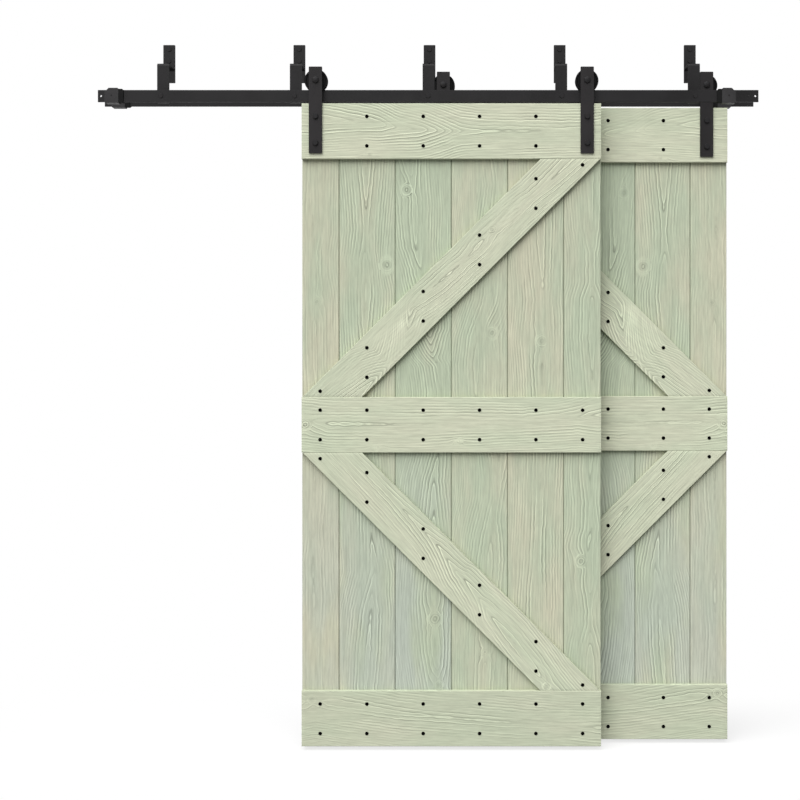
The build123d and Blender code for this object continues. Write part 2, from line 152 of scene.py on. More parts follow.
class WoodSettings(bpy.types.PropertyGroup):
    """Board sizes, grain and paint."""

    step_across: length_property("Step across", "Mesh step across a board's face", 3.6)
    step_along: length_property("Step along", "Mesh step along a board", 7.0)
    step_back: length_property("Step on the back", "Mesh step across a board's back", 13.0)
    v_groove: length_property("V groove", "Chamfer on both sides of a seam", 3.0)
    tongue: length_property("Tongue", "Width and thickness of a plank's tongue", 6.0)
    joint_gap: length_property("Joint gap", "Clearance between tongue and groove", 0.3)
    eased_edge: length_property("Eased edge", "Chamfer on a board's front and a plank's back", 1.2)
    ring_width: length_property("Ring width", "Width of one growth ring", 12.5)
    relief: length_property("Relief", "Depth of the brushed grain", 0.35)
    ridge_width: length_property("Ridge width", "Half the width of a raised grain line", 3.0)
    ridge_height: length_property("Ridge height", "Height of a raised grain line", 0.6)
    # Painted highlight on the rings' raised lines and painted shade beside them, laid over their
    # grain colour
    ridge_highlight: number_property("Ridge light", "How much lighter a raised line is", 0.38)
    groove_shade: number_property("Groove dark", "How much darker the wood beside a line is", 0.32)
    knot_dark: number_property("Knot dark", "How much darker a knot's middle is", 0.15)
    # Painted shade in the seams' V grooves
    seam_shade: number_property("Seam dark", "How much darker the paint in a seam is", 0.5)
    # Painted shade on the planks beside the boards and braces
    timber_shade_dark: number_property("Pooled paint", "How much darker paint is beside a timber", 0.22)
    timber_shade_reach: length_property("Pool reach", "How far the pooled paint reaches", 7.0)
    # Painted highlight along the seams' eased edges
    seam_rim_highlight: number_property("Worn edge", "How much lighter a seam's worn edges are", 0.07)
    seam_rim_reach: length_property("Worn reach", "How far a seam's worn edges reach", 2.0)
    board_light: colour_property("Board paint, light", "Light tone of the boards across", "D1D3BB")
    board_dark: colour_property("Board paint, green", "Green tone of the boards across", "C8D0B6")
    plank_light: colour_property("Plank paint, beige", "Beige tone of the planks", "CBC9B1")
    plank_dark: colour_property("Plank paint, green", "Green tone of the planks", "BAC5AC")
    cool_paint: colour_property("Cool paint", "Grey tone of the weathered patches", "B9C1B6")
    seed: IntProperty(name="Seed", description="Changes every board's grain", default=11)


class HardwareSettings(bpy.types.PropertyGroup):
    """Fastener sizes and the colours of metal, rubber and nylon."""

    powder: colour_property("Powder coat", "Tracks and brackets", "1D1C1D")
    cast_powder: colour_property("Stop coat", "End stops", "302F30")
    strap_powder: colour_property("Strap coat", "Hanger straps", "222021")
    oxide: colour_property("Black oxide", "Bolts and lag screws", "161517")
    screw_black: colour_property("Screw coat", "Wood screws", "030303")
    nylon: colour_property("Nylon", "Wheels", "070708")
    rubber: colour_property("Rubber", "Bumpers", "191919")
    steel: colour_property("Bearing steel", "Ball bearings", "A9A9AB")
    lag_crest: length_property("Lag thread", "Radius of the lag screws' thread", 4.0)
    lag_shank: length_property("Lag shank", "Radius of the lag screws' bare shank", 3.6)
    lag_pitch: length_property("Lag pitch", "Pitch of the lag screws' thread", 3.6)
    lag_point: length_property("Lag point", "Length of the lag screws' point", 8.0)
    bolt_pitch: length_property("Bolt pitch", "Pitch of the bolts' thread", 1.5)
    bolt_thread: length_property("Bolt thread", "Length of the bolts' thread", 14.0)
    track_bolt_shank: length_property("Track bolt shank", "Radius of the track bolts", 4.75)
    strap_bolt_shank: length_property("Strap bolt shank", "Radius of strap and axle bolts", 5.0)
    head_chamfer: length_property("Head chamfer", "Chamfer of a hex head", 1.1)
    small_head: length_property("Small head", "Height of lag screw and track bolt heads", 5.5)
    small_flats: length_property("Small flats", "Width of lag screw and track bolt heads", 15.0)
    strap_head: length_property("Strap bolt head", "Height of a strap bolt's head", 6.4)
    strap_flats: length_property("Strap bolt flats", "Width of a strap bolt's head", 17.0)
    axle_head: length_property("Axle bolt head", "Height of an axle bolt's head", 5.0)
    axle_flats: length_property("Axle bolt flats", "Width of an axle bolt's head", 20.0)
    screw_shank: length_property("Screw shank", "Radius of a wood screw's shank", 2.25)
    screw_head: length_property("Screw head", "Radius of a wood screw's head", 6.1)
    screw_head_height: length_property("Screw head height", "Height of a wood screw's head", 1.8)
    screw_crown: length_property("Screw crown", "Radius of the flat on a wood screw's head", 4.2)
    screw_recess: length_property("Screw recess", "Radius of the drive recess", 1.9)
    screw_recess_depth: length_property("Recess depth", "Depth of the drive recess", 1.4)


# Materials


class Nodes:
    """Builds a node tree; every input takes a socket or a plain value."""

    def __init__(self, owner):
        owner.use_nodes = True
        self.tree = owner.node_tree

    def put(self, socket, value):
        """Link a socket to the input, or set the input's own value."""
        if isinstance(value, bpy.types.NodeSocket):
            self.tree.links.new(value, socket)
        else:
            socket.default_value = value

    def node(self, kind, inputs=(), **settings):
        """One node with its settings and inputs."""
        made = self.tree.nodes.new(kind)
        for key, value in settings.items():
            setattr(made, key, value)
        for key, value in dict(inputs).items():
            self.put(made.inputs[key], value)
        return made

    def attribute(self, name, output="Fac"):
        """A value that the mesh carries."""
        return self.node("ShaderNodeAttribute", attribute_name=name).outputs[output]

    def place(self):
        """The place on the object."""
        return self.node("ShaderNodeTexCoord").outputs["Object"]

    def math(self, operation, first, second=0.0):
        """One sum."""
        return self.node("ShaderNodeMath", {0: first, 1: second}, operation=operation).outputs[0]

    def times(self, value, *factors):
        """A value multiplied by all factors."""
        for factor in factors:
            value = self.math("MULTIPLY", value, factor)
        return value

    def seen(self, *rays):
        """1 for a ray of any of these kinds, otherwise 0."""
        path = self.node("ShaderNodeLightPath").outputs
        found = path[rays[0]]
        for ray in rays[1:]:
            found = self.math("MAXIMUM", found, path[ray])
        return found

    def stretch(self, vector, scales):
        """A vector multiplied by three scales."""
        return self.node(
            "ShaderNodeVectorMath", {0: vector, 1: scales}, operation="MULTIPLY"
        ).outputs[0]

    def ease(self, value, low, high, start=0.0, end=1.0):
        """The value eased from start to end as it goes from low to high."""
        return self.node(
            "ShaderNodeMapRange",
            {"Value": value, "From Min": low, "From Max": high, "To Min": start, "To Max": end},
            interpolation_type="SMOOTHSTEP",
        ).outputs["Result"]

    def noise(self, vector, scale=1.0, detail=2.0, roughness=0.5):
        """Smooth noise between 0 and 1."""
        return self.node(
            "ShaderNodeTexNoise",
            {"Vector": vector, "Scale": scale, "Detail": detail, "Roughness": roughness},
        ).outputs["Fac"]

    def mix(self, share, first, second, way="MIX"):
        """Two colours mixed."""
        made = self.node("ShaderNodeMix", data_type="RGBA", blend_type=way)
        self.put(made.inputs[0], share)
        for index, colour in ((6, first), (7, second)):
            is_socket = isinstance(colour, bpy.types.NodeSocket)
            self.put(made.inputs[index], colour if is_socket else (*colour, 1.0))
        return made.outputs[2]

    def bump(self, height, strength=1.0):
        """A bump whose height is in metres."""
        return self.node(
            "ShaderNodeBump", {"Height": height, "Strength": strength, "Distance": 1.0}
        ).outputs["Normal"]


class Finish(Nodes):
    """One material, whose shader takes its inputs by name."""

    def __init__(self, name):
        self.material = bpy.data.materials.new(name)
        super().__init__(self.material)
        self.shader = self.tree.nodes["Principled BSDF"]

    def coat(self, inputs):
        """Set the shader's inputs and hand over the material."""
        for name, value in inputs.items():
            self.put(self.shader.inputs[name], value)
        return self.material


def painted_wood(name, light, dark, settings):
    """Sage wash over brushed softwood: raised ring lines, open pores and a tone that drifts."""
    make = Finish(name)
    grain = make.attribute("grain", "Vector")
    ring = make.attribute("ring")
    slope = make.attribute("ring_slope")

    # Each ring gets its own strength, which also comes and goes along the board
    chance = make.node(
        "ShaderNodeTexWhiteNoise", {"W": make.math("FLOOR", ring)}, noise_dimensions="1D"
    ).outputs["Value"]
    fading = make.noise(make.stretch(grain, (16.0, 4.0, 8.0)), detail=1.0)
    strength = make.times(
        make.ease(chance, 0.1, 0.8, 0.25, 1.0), make.ease(fading, 0.36, 0.6, 0.16),
        make.attribute("bold"),
    )
    away = make.math("DIVIDE", make.math("SUBTRACT", make.math("FRACT", ring), 0.5), slope)
    width = settings.ridge_width
    ridge = make.ease(make.math("ABSOLUTE", away), 0.0, width, 1.0, 0.0)
    beside = make.math("ABSOLUTE", make.math("SUBTRACT", away, 1.25 * width))
    groove = make.ease(beside, 0.0, width, 1.0, 0.0)
    ridge = make.times(ridge, strength)
    groove = make.times(groove, strength)

    fibre = make.noise(make.stretch(grain, (330.0, 8.0, 200.0)), detail=3.0, roughness=0.6)
    pores = make.noise(make.stretch(grain, (170.0, 22.0, 120.0)))
    drift = make.noise(make.stretch(grain, (11.0, 3.0, 6.0)), detail=3.0)
    tone = make.times(make.attribute("tone"), 0.5)
    share = make.ease(make.math("ADD", drift, tone), 0.35, 0.95)
    patches = make.ease(make.noise(make.stretch(grain, (8.0, 2.2, 5.0))), 0.35, 0.6)

    colour = make.mix(share, light, dark)
    patches = make.times(patches, make.attribute("cool"))
    colour = make.mix(patches, colour, settings.cool_paint)
    shade = make.ease(fibre, 0.25, 0.75, 0.87, 1.06)
    shade = make.times(shade, make.ease(pores, 0.3, 0.7, 0.94, 1.04))
    # Raised ring lines are painted lighter and the wood beside them darker: grain colour with a
    # painted highlight on each ridge and painted shade beside it. The knot's darker middle is its
    # own colour
    for way, mark, change in (
        ("ADD", ridge, settings.ridge_highlight),
        ("SUBTRACT", groove, settings.groove_shade),
        ("SUBTRACT", make.attribute("knot"), settings.knot_dark),
    ):
        shade = make.math(way, shade, make.times(mark, change))
    # The mesh's shade attribute carries painted shade and highlight: lower boards, seam grooves,
    # planks beside timbers, seam edges
    shade = make.times(shade, make.attribute("shade"))

    height = make.times(make.math("SUBTRACT", ridge, groove), settings.ridge_height)
    for mark, rise in ((fibre, 0.4 * MILLIMETRE), (pores, 0.3 * MILLIMETRE)):
        height = make.math("ADD", height, make.times(mark, rise))
    return make.coat({
        "Base Color": make.mix(1.0, colour, shade, "MULTIPLY"),
        "Roughness": make.ease(fibre, 0.2, 0.8, 0.62, 0.8),
        "Specular IOR Level": 0.25,
        "Normal": make.bump(height, 0.8),
    })


def end_grain(name, light, dark, settings):
    """Painted end grain: the rings show as arcs."""
    make = Finish(name)
    place = make.attribute("grain", "Vector")
    arcs = make.node(
        "ShaderNodeTexWave",
        {"Vector": make.stretch(place, (1.0, 0.02, 1.0)), "Scale": 1 / (6.28 * settings.ring_width),
         "Distortion": 1.5, "Detail": 2.0, "Detail Scale": 30.0},
        wave_type="RINGS", rings_direction="Y",
    ).outputs["Fac"]
    specks = make.noise(place, 900.0)
    shade = make.times(
        make.ease(arcs, 0.1, 0.9, 0.84, 1.0), make.ease(specks, 0.3, 0.7, 0.94, 1.04)
    )
    colour = make.mix(make.noise(place, 14.0), light, dark)
    return make.coat({
        "Base Color": make.mix(1.0, colour, shade, "MULTIPLY"),
        "Roughness": make.ease(specks, 0.2, 0.8, 0.7, 0.85),
        "Normal": make.bump(make.times(arcs, 0.4 * MILLIMETRE), 0.7),
    })


def wood_paints(name, light, dark, settings):
    """The painted face and the end grain of one kind of board."""
    return (
        painted_wood(f"sage_{name}_paint", light, dark, settings),
        end_grain(f"sage_{name}_ends", light, dark, settings),
    )


def powder_coat(name, colour, texture=0.06 * MILLIMETRE):
    """Satin powder coat with a fine orange-peel skin and slightly lighter rubbed patches."""
    make = Finish(name)
    place = make.place()
    peel = make.noise(place, 1100.0)
    cloud = make.noise(place, 9.0, 3.0)
    light = [min(1.0, c * 1.25) for c in colour]
    dark = [c * 0.86 for c in colour]
    tint = make.mix(make.ease(cloud, 0.3, 0.7), dark, light)
    return make.coat({
        "Base Color": make.mix(make.ease(peel, 0.45, 0.75, 0.0, 0.35), tint, light),
        "Roughness": make.ease(cloud, 0.2, 0.8, 0.42, 0.56),
        "Specular IOR Level": 0.2,
        "Normal": make.bump(make.times(peel, texture)),
    })


def black_oxide(name, colour):
    """Blackened steel: turned marks and a thin oil sheen."""
    make = Finish(name)
    place = make.place()
    marks = make.noise(make.stretch(place, (300.0, 2400.0, 300.0)))
    blotch = make.noise(place, 60.0, 3.0)
    brown = [c * warmth for c, warmth in zip(colour, (1.35, 1.2, 1.1))]
    return make.coat({
        "Base Color": make.mix(make.ease(blotch, 0.4, 0.7), colour, brown),
        "Metallic": 0.15,
        "Specular IOR Level": 0.3,
        "Roughness": make.ease(marks, 0.2, 0.8, 0.5, 0.66),
        "Normal": make.bump(make.times(marks, 0.04 * MILLIMETRE)),
    })


def moulded(name, colour, low_rough, high_rough, grain_size, metallic=0.0, gloss=0.12):
    """A moulded or ground surface with fine speckle in its colour and gloss."""
    make = Finish(name)
    place = make.place()
    speckle = make.noise(place, grain_size, 3.0)
    scuff = make.noise(place, grain_size / 30)
    light = [min(1.0, c * 1.3) for c in colour]
    return make.coat({
        "Base Color": make.mix(make.ease(scuff, 0.45, 0.75), colour, light),
        "Roughness": make.ease(speckle, 0.2, 0.8, low_rough, high_rough),
        "Metallic": metallic,
        "Specular IOR Level": gloss,
        "Normal": make.bump(make.times(speckle, 0.05 * MILLIMETRE)),
    })


def dress(material, *nodes):
    """Give CAD nodes their finish."""
    for node in nodes:
        mesh = frame["nodes"][node].data
        mesh.materials.clear()
        mesh.materials.append(material)


def add_object(name, data):
    """A new object in the scene."""
    made = bpy.data.objects.new(name, data)
    bpy.context.scene.collection.objects.link(made)
    return made


# Wooden boards


def spaced(low, high, step):
    """Evenly spaced values from low to high, about a step apart."""
    return np.linspace(low, high, max(2, round((high - low) / step) + 1))


@dataclass
class Grain:
    """One board's grain and paint.

    Tips are millimetres along and across with the heart's ring number there; knots are millimetres
    along and across with the radius.
    """

    tips: tuple
    knots: tuple = ()
    tone: float = 0.5
    cool: float = 0.0
    # Painted shade over the whole board: a lower board is painted darker, as less light reaches it
    shade: float = 1.0
    bold: float = 1.0


# From the front leaf's left plank to its right one; the back leaf mirrors them
PLANK_GRAINS = (
    Grain(
        ((-180, -19, 0.9), (-376, -26, 0.5), (-453, -26, 0.2), (-513, -29, 0.8), (-583, -32, 0.5),
         (-679, -22, 0.0), (-996, -16, 0.4), (-1346, -22, 0.5), (-1446, -22, 1.3),
         (-1545, -26, 0.5), (-1679, -22, 0.2), (-1812, -26, 0.7), (-1979, -19, 0.3)),
        ((-685, -13, 10),), tone=0.15, cool=0.55, bold=0.45,
    ),
    Grain(
        ((-180, -4, 0.9), (-266, -4, 1.5), (-376, -4, 2.5), (-446, -4, 3.0), (-513, -7, 2.5),
         (-546, -7, 1.7), (-570, -4, 1.5), (-653, -4, 1.0), (-736, -7, 1.5), (-829, -7, 2.3),
         (-996, -4, 3.2), (-1179, 3, 4.2), (-1462, 13, 3.5), (-1585, 26, 2.5), (-1662, 16, 1.5),
         (-1715, 13, 0.5), (-1845, 3, 0.1), (-1979, -7, 0.5), (-2078, -7, 1.5)),
        ((-563, 66, 15),), tone=0.45, cool=0.6,
    ),
    Grain(
        ((-180, -51, 0.4), (-360, -31, 1.5), (-500, -25, 2.5), (-576, -8, 3.5), (-679, 9, 4.0),
         (-773, 22, 4.5), (-799, 22, 5.5), (-826, 25, 6.5), (-853, 29, 7.5), (-873, 32, 8.5),
         (-899, 52, 8.9), (-983, 59, 9.5), (-1079, 55, 9.2), (-1196, 49, 8.4), (-1279, 35, 7.5),
         (-1479, 35, 5.2), (-1679, 35, 3.2), (-1772, 39, 3.5), (-1845, 42, 4.2), (-1979, 52, 5.5)),
        ((-313, -56, 13), (-1742, 39, 15), (-1962, 52, 10)), tone=0.8, cool=0.8,
    ),
    Grain(
        ((-180, 58, 1.4), (-296, 78, 1.0), (-679, 35, 0.9), (-799, -5, 0.5), (-896, -12, 0.0),
         (-996, -12, 0.3), (-1199, 65, 0.5), (-1279, 62, 1.5), (-1346, 55, 1.8), (-1406, 42, 1.5),
         (-1462, 38, 0.5), (-1545, 35, -0.3), (-1812, 22, 0.4), (-1979, 15, 0.9)),
        ((-789, 42, 12), (-1852, 18, 8)), tone=0.5, bold=0.7,
    ),
    Grain(
        ((-180, 14, -1.2), (-480, 18, -0.6), (-649, 24, 0.5), (-679, 24, 0.8), (-713, 24, 0.5),
         (-816, 21, -0.3), (-943, 23, 0.5), (-996, 21, 1.0), (-1196, 18, 1.5), (-1479, 8, 1.7),
         (-1572, 4, 1.5), (-1679, 1, 0.9), (-1812, -2, 0.8), (-1979, -6, 0.5)),
        ((-816, 21, 13),), tone=0.3,
    ),
    Grain(
        ((-180, 23, -0.8), (-436, 31, 0.5), (-530, 33, 1.8), (-629, 33, 1.5), (-653, 33, 0.5),
         (-679, 33, -0.2), (-813, 33, -0.4), (-919, 34, 0.5), (-996, 33, 1.1), (-1196, 29, 0.2),
         (-1266, 26, 0.5), (-1346, 29, 1.1), (-1436, 33, 0.5), (-1496, 19, -0.1), (-1619, 26, 0.5),
         (-1669, 26, 1.5), (-1719, 26, 1.9), (-1772, 26, 1.5), (-1812, 26, 0.5), (-1862, 26, -0.4),
         (-1979, 26, -0.8)),
        ((-1550, -4, 13),), tone=0.6, bold=0.8,
    ),
)
BOARD_GRAINS = {
    "top": Grain(
        ((1, 40, -1.0), (94, 37, -0.3), (167, 33, 0.5), (214, 30, 1.0), (257, 23, 1.5),
         (287, 17, 2.5), (320, 10, 3.5), (393, 3, 4.5), (426, 2, 5.5), (453, 0, 6.5), (479, 0, 7.5),
         (502, 0, 8.5), (529, 0, 9.5), (592, -2, 10.2), (857, 0, 10.8), (997, 3, 10.4)),
        ((227, -78, 7),), tone=0.3,
    ),
    "middle": Grain(
        ((1, 13, 3.2), (94, 3, 3.0), (393, 0, 3.3), (559, 3, 3.8), (725, 6, 4.4), (857, 16, 4.0),
         (924, 26, 3.5), (957, 30, 2.5), (997, 33, 2.0)),
        ((12, 0, 12), (250, -75, 6), (519, -55, 5)), tone=0.35, bold=0.75,
    ),
    # The bottom board is painted darker: painted shade
    "bottom": Grain(
        ((1, 56, 1.2), (45, 62, 1.6), (327, 16, 1.9), (658, -11, 2.3), (857, -24, 2.8),
         (997, -31, 2.3)),
        ((34, 63, 10),), tone=0.4, shade=0.93, bold=0.6,
    ),
}
BRACE_GRAINS = {
    "upper": Grain(
        ((-560, 55, 3.5), (-420, 58, 5.5), (-345, 58, 9.5), (-330, 58, 8.5), (-312, 58, 7.5),
         (-294, 56, 6.5), (-275, 52, 5.5), (-240, 35, 4.2), (-200, 0, 2.5), (-163, -28, 1.5),
         (-120, -26, 0.7), (-60, -20, 0.4), (40, -12, 0.5), (70, -10, 0.8), (95, -9, 0.5),
         (150, -14, -0.2), (208, -18, 0.0), (300, -10, 0.6), (380, 0, 1.2), (450, 5, 0.6),
         (560, 8, 0.2)),
        ((208, -18, 11),), tone=0.3,
    ),
    "lower": Grain(
        ((560, 40, 9.0), (300, 35, 8.8), (200, 32, 8.2), (120, 31, 7.2), (84, 30, 6.5),
         (32, 20, 5.5), (-10, 11, 4.5), (-49, 14, 3.5), (-129, 4, 2.5), (-158, 0, 1.5),
         (-190, -10, 0.5), (-240, -13, -0.2), (-288, -16, -0.6), (-400, -30, -0.4),
         (-493, -46, -0.2), (-560, -50, 0.3)),
        ((-493, -46, 10),), tone=0.3,
    ),
}


def ripple(across, along, sideways, lengthways, chance):
    """A wave over the board that starts at random."""
    return np.sin(sideways * across + lengthways * along + chance.uniform(0, 2 * np.pi))


def growth_rings(across, along, grain, chance, ring_width):
    """Ring number, knot share and distance from the heart.

    Rings spread from a heart line whose own ring number rises and falls along the board.
    """
    places, sides, rings = (np.array(sorted(grain.tips)) * (MILLIMETRE, MILLIMETRE, 1)).T
    blurs = np.array((-8, -4, 0, 4, 8)) * MILLIMETRE
    heart = sum(np.interp(along + blur, places, sides) for blur in blurs) / len(blurs)
    ring = sum(np.interp(along + blur, places, rings) for blur in blurs) / len(blurs)
    reach = np.hypot(across - heart, 2 * MILLIMETRE)
    ring = ring + reach / ring_width * (1 + 3 * reach)
    for order in range(1, 10):
        sideways, lengthways = chance.uniform(-24, 24) * order, chance.uniform(2, 9) * order
        ring = ring + 0.17 / order * ripple(across, along, sideways, lengthways, chance)
    for _ in range(5):
        sideways, lengthways = chance.uniform(-90, 90), chance.uniform(70, 240)
        ring = ring + 0.022 * ripple(across, along, sideways, lengthways, chance)
    knot = np.zeros_like(ring)
    for knot_along, knot_across, radius in grain.knots:
        side = (across / MILLIMETRE - knot_across) / radius
        up = (along / MILLIMETRE - knot_along) / radius
        # Rings part around the knot
        ring = ring + 1.6 * np.exp(-0.5 * ((side / 1.6) ** 2 + (up / 3.4) ** 2))
        # Inside, they swirl around its middle
        out = np.hypot(side, up / 1.1)
        swirl = 1.8 * out - 0.85 + 0.14 * np.sin(2 * np.arctan2(up, side) + 4 * out)
        swirl = swirl + np.floor(np.interp(knot_along * MILLIMETRE, places, rings))
        ring = ring + np.clip(4.4 - 2.6 * out, 0, 1) * (swirl - ring)
        knot = np.maximum(knot, np.exp(-2.2 * out**4))
    return ring, knot, reach


class Board:
    """One board: a section carried along rows, with growth rings and a brushed front."""

    def __init__(self, name, settings, seed, grain, ease_ends, painted_shading=None):
        self.name = name
        self.settings = settings
        self.chance = np.random.default_rng(settings.seed * 1000 + seed)
        self.grain = grain
        self.ease_ends = ease_ends
        self.painted_shading = painted_shading or (lambda across, along: np.zeros_like(across))

    def front_section(
        self, low, high, left_edge, right_edge, front, side_right, back, side_left, back_edge=0.0
    ):
        """The section's points: a fine front face, the right side, a coarse back, the left side."""
        settings = self.settings
        face = spaced(low + left_edge, high - right_edge, settings.step_across)
        rear = spaced(low + back_edge, high - back_edge, settings.step_back)[::-1]
        points = [(x, front) for x in face] + side_right + [(x, back) for x in rear] + side_left
        self.on_front = np.arange(len(points)) < len(face)
        across, depth = np.array(points).T
        self.in_seam = (right_edge > settings.eased_edge) & (across > face[-1]) & (depth < back)
        self.in_seam |= (left_edge > settings.eased_edge) & (across < face[0]) & (depth < back)
        self.front = front
        return np.array(points)

    def build(self, section, rows, place, lay, materials):
        """Make the mesh.

        place turns across, along and depth into points; lay turns across and along into places
        on the grain.
        """
        settings, grain = self.settings, self.grain
        across = np.tile(section[:, 0], (len(rows), 1))
        depth = np.tile(section[:, 1], (len(rows), 1))
        along = np.tile(rows[:, None], (1, len(section)))
        from_end = np.minimum(along - rows[0], rows[-1] - along)
        depth = np.maximum(depth, self.front + np.maximum(0, self.ease_ends - from_end))

        way = lay(across, along)
        ring, knot, reach = growth_rings(*way, grain, self.chance, settings.ring_width)
        run = np.concatenate([[0], np.cumsum(np.hypot(*np.diff(section, axis=0).T))])
        slope = np.hypot(np.gradient(ring, run, axis=1), np.gradient(ring, rows, axis=0))
        # The relief fades where the rings crowd
        open_rings = np.clip((230.0 - slope) / 120.0, 0, 1)
        relief = settings.relief * open_rings * (0.5 - 0.5 * np.cos(2 * np.pi * ring))
        inside = self.on_front & (from_end > self.ease_ends)
        depth = depth + np.where(inside, relief, 0.0)

        mesh = bpy.data.meshes.new(self.name)
        count = len(section)
        corner = np.arange(len(rows) * count).reshape(len(rows), count)
        after = np.roll(corner, -1, axis=1)
        quads = np.stack([corner[:-1], corner[1:], after[1:], after[:-1]], axis=-1).reshape(-1, 4)
        ends = [list(corner[0]), list(corner[-1][::-1])]
        points = np.stack(place(across, along, depth), axis=-1).reshape(-1, 3)
        mesh.from_pydata(points.tolist(), [], quads.tolist() + ends)
        for material in materials:
            mesh.materials.append(material)
        mesh.polygons[-1].material_index = mesh.polygons[-2].material_index = 1

        bold = grain.bold * (1.08 - 0.55 * np.clip((reach - 0.02) / 0.06, 0, 1))
        # Painted shade: the paint darkens with depth down a seam's V groove
        seam = np.clip((depth - self.front - 2 * settings.relief) / settings.v_groove, 0, 1)
        seam = np.where(self.in_seam, seam, 0.0)
        # Painted shade beside the timbers and a painted highlight on the seams' edges, on the
        # planks' front
        painted_shading = np.where(self.on_front | self.in_seam, self.painted_shading(across, along), 0.0)
        layers = {
            "ring": ring,
            "ring_slope": np.clip(slope, 45.0, 900.0),
            "knot": knot,
            "tone": np.full_like(ring, grain.tone),
            "bold": np.maximum(bold, 1.25 * np.sqrt(knot)),
            "cool": grain.cool * np.clip((-1.0 - way[1]) / 0.8, 0, 1),
            # Painted shade and highlight: the board's own shade factor, the seams' grooves and the
            # planks beside the timbers
            "shade": grain.shade * (1 - settings.seam_shade * seam) * (1 - painted_shading),
        }
        for name, values in layers.items():
            mesh.attributes.new(name, "FLOAT", "POINT").data.foreach_set(
                "value", values.astype(np.float32).ravel()
            )
        offset = self.chance.uniform(0, 9)
        vectors = np.stack([way[0] + offset, way[1] + offset, depth], axis=-1)
        mesh.attributes.new("grain", "FLOAT_VECTOR", "POINT").data.foreach_set(
            "vector", vectors.astype(np.float32).ravel()
        )
        fair(mesh)
        return add_object(self.name, mesh)


def fair(mesh, sharp=30):
    """Outward faces, smooth apart from sharp edges."""
    shape = bmesh.new()
    shape.from_mesh(mesh)
    bmesh.ops.recalc_face_normals(shape, faces=shape.faces)
    limit = math.radians(sharp)
    for edge in shape.edges:
        edge.smooth = edge.is_manifold and edge.calc_face_angle(0.0) < limit
    for face in shape.faces:
        face.smooth = True
    shape.to_mesh(mesh)
    shape.free()
    mesh.update()


def seat(piece, body, slot, *nodes):
    """The piece rides on a body and stands for its CAD nodes."""
    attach(piece, body)
    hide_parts(*nodes)


def brace_lines(leaf):
    """Name, middle, side it leans to and steepness of each brace of a leaf."""
    for name, side in (("upper", LEAVES[leaf]), ("lower", -LEAVES[leaf])):
        low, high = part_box(f"{leaf}_{name}_brace")
        rise, span = high.z - low.z, high.x - low.x
        angle = math.atan2(rise, span) + math.asin(BRACE_WIDTH / math.hypot(rise, span))
        yield name, (low + high) / 2, side, angle


def distance_to_timbers(leaf, x, z):
    """Distance on the planks' face to the nearest board or brace."""
    near = np.full_like(x, 1.0)
    for name in ("top", "middle", "bottom"):
        low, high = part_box(f"{leaf}_{name}_board")
        near = np.minimum(near, np.maximum(0, np.maximum(low.z - z, z - high.z)))
    for _, middle, side, angle in brace_lines(leaf):
        off = np.abs((x - middle.x) * math.sin(angle) - side * (z - middle.z) * math.cos(angle))
        near = np.minimum(near, np.maximum(0, off - BRACE_WIDTH / 2))
    return near


def plank(leaf, number, count, settings, grain, kind, mirror, materials):
    """An upright plank with V edges, a groove on its left and a tongue on its right."""
    node = f"{leaf}_plank_{number}"
    low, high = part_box(node)
    tongued, grooved = number < count, number > 1
    x0, x1 = low.x, high.x - (settings.tongue if tongued else 0)
    front, back = low.y, high.y
    left_edge = settings.v_groove if grooved else settings.eased_edge
    right_edge = settings.v_groove if tongued else settings.eased_edge
    tongue_front = (front + back - settings.tongue) / 2
    tongue_back = tongue_front + settings.tongue
    gap = settings.joint_gap
    right = [(x1, front + right_edge)]
    if tongued:
        tip = high.x
        right += [(x1, tongue_front), (tip, tongue_front), (tip, tongue_back), (x1, tongue_back)]
    right.append((x1, back - settings.eased_edge))
    left = [(x0, back - settings.eased_edge)]
    if grooved:
        floor = x0 + settings.tongue + gap
        left += [
            (x0, tongue_back + gap), (floor, tongue_back + gap), (floor, tongue_front - gap),
            (x0, tongue_front - gap),
        ]
    left.append((x0, front + left_edge))

    def painted_shading(x, z):
        """Painted shade beside the timbers, less a painted highlight along the seams' eased edges.
        """
        from_left = x - x0 - left_edge if grooved else 1.0
        from_right = x1 - right_edge - x if tongued else 1.0
        # Painted highlight on the eased edges beside each seam
        highlit = np.exp(-np.abs(np.minimum(from_left, from_right)) / settings.seam_rim_reach)
        # Painted shade on the planks, fading away from the boards and braces
        timber_shade = np.exp(-distance_to_timbers(leaf, x, z) / settings.timber_shade_reach)
        return settings.timber_shade_dark * timber_shade - settings.seam_rim_highlight * highlit

    board = Board(node + "_painted", settings, kind, grain, 0.0, painted_shading)
    section = board.front_section(
        x0, x1, left_edge, right_edge, front, right, back, left, settings.eased_edge
    )
    rows = spaced(low.z, high.z, settings.step_along)
    middle = (x0 + x1) / 2
    piece = board.build(
        section, rows,
        place=lambda across, along, depth: (across, depth, along),
        lay=lambda across, along: (mirror * (across - middle), along),
        materials=materials,
    )
    seat(piece, f"{leaf}_leaf", "sage_planks", node)


def timber(leaf, part, settings, grain, kind, materials, edges, rows, place, lay):
    """A board or brace between two edges of its section, eased all round its front."""
    node = f"{leaf}_{part}"
    low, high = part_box(node)
    eased = settings.eased_edge
    board = Board(node + "_painted", settings, kind, grain, eased)
    section = board.front_section(
        *edges, eased, eased,
        low.y, [(edges[1], low.y + eased)], high.y, [(edges[0], low.y + eased)],
    )
    seat(board.build(section, rows, place, lay, materials), f"{leaf}_leaf", "sage_boards", node)


